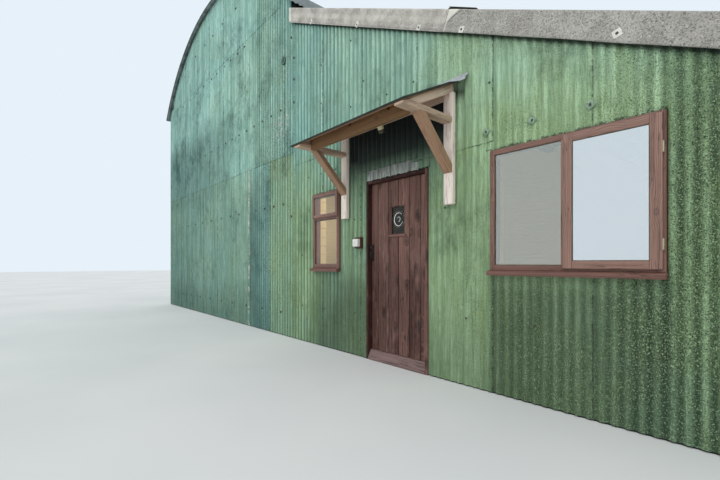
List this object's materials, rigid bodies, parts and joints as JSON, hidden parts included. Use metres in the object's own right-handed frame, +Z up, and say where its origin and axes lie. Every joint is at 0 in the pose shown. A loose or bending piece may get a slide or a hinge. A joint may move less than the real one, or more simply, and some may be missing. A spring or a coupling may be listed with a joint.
{
  "type": "corrugated iron barn with lean-to",
  "caption": "Green corrugated iron barn with a curved roof and a lean-to at its side, with a plank door under a timber canopy and brown timber windows.",
  "frame": {"origin": "on the ground under the middle of the building's box", "axes": "+X right along the front wall, +Y from the front into the building, +Z up"},
  "size_m": [11.44, 9.79, 6.4202],
  "materials": {
    "concrete": "smooth concrete",
    "wall_lining": "painted boards on studs",
    "frame_timber": "sawn softwood",
    "painted_sheet": "weathered green paint on corrugated iron",
    "galvanised_sheet": "dull grey corrugated iron",
    "fibre_cement": "fibre cement with lichen",
    "stained_timber": "dark brown stain",
    "window_timber": "red-brown stain",
    "weathered_timber": "weathered softwood",
    "glass": "clear glass",
    "black_iron": "black iron",
    "felt": "mineral roofing felt",
    "flashing_metal": "dull metal flashing",
    "cream_plastic": "aged cream plastic",
    "white_plastic": "white plastic"
  },
  "bodies": {
    "building": {"floor_slab": "concrete", "barn_front_wall": "wall_lining", "barn_back_wall": "wall_lining", "barn_left_wall": "wall_lining", "lean_wall_left_of_door": "wall_lining", "lean_wall_over_door": "wall_lining", "lean_wall_right_of_door": "wall_lining", "lean_side_wall": "wall_lining", "lean_back_wall": "wall_lining", "arcade_post": "frame_timber", "arcade_beam": "frame_timber", "barn_purlins": "frame_timber", "barn_rib": "frame_timber", "lean_purlins": "frame_timber", "lean_rafter": "frame_timber", "barn_front_sheets": "painted_sheet", "barn_back_sheets": "painted_sheet", "barn_left_sheets": "painted_sheet", "lean_front_sheets": "painted_sheet", "lean_back_sheets": "painted_sheet", "lean_side_sheets": "painted_sheet", "barn_roof": "galvanised_sheet", "lean_roof": "fibre_cement", "verge_capping_upper": "fibre_cement", "verge_capping_lower": "fibre_cement", "verge_capping_back": "fibre_cement", "door_jamb_left": "stained_timber", "door_jamb_right": "stained_timber", "door_head": "stained_timber", "door_sill": "weathered_timber", "hinge_fixed_leaves": "black_iron", "small_window_frame": "window_timber", "small_window_vent": "window_timber", "small_window_glass": "glass", "small_window_sill": "window_timber", "big_window_frame": "window_timber", "big_window_casement": "window_timber", "big_window_glass": "glass", "big_window_sill": "window_timber", "canopy_posts": "weathered_timber", "canopy_arms": "weathered_timber", "canopy_braces": "weathered_timber", "canopy_rafters": "weathered_timber", "canopy_front_beam": "weathered_timber", "canopy_wall_plate": "weathered_timber", "canopy_roof": "felt", "canopy_flashing": "flashing_metal", "porch_lamp": "cream_plastic", "switch_block": "stained_timber", "switch_box": "white_plastic"},
    "door": {"door_leaf": "stained_timber", "eye_sill": "stained_timber", "door_glass": "glass", "door_latch": "black_iron", "hinge_moving_leaves": "black_iron"}
  },
  "joints": [
    {"name": "door_swing", "type": "hinge", "parent": "building", "child": "door", "pos_m": [3.055, -4.099, 1.05], "axis": [0, 0, -1], "range_deg": [0, 100]}
  ]
}
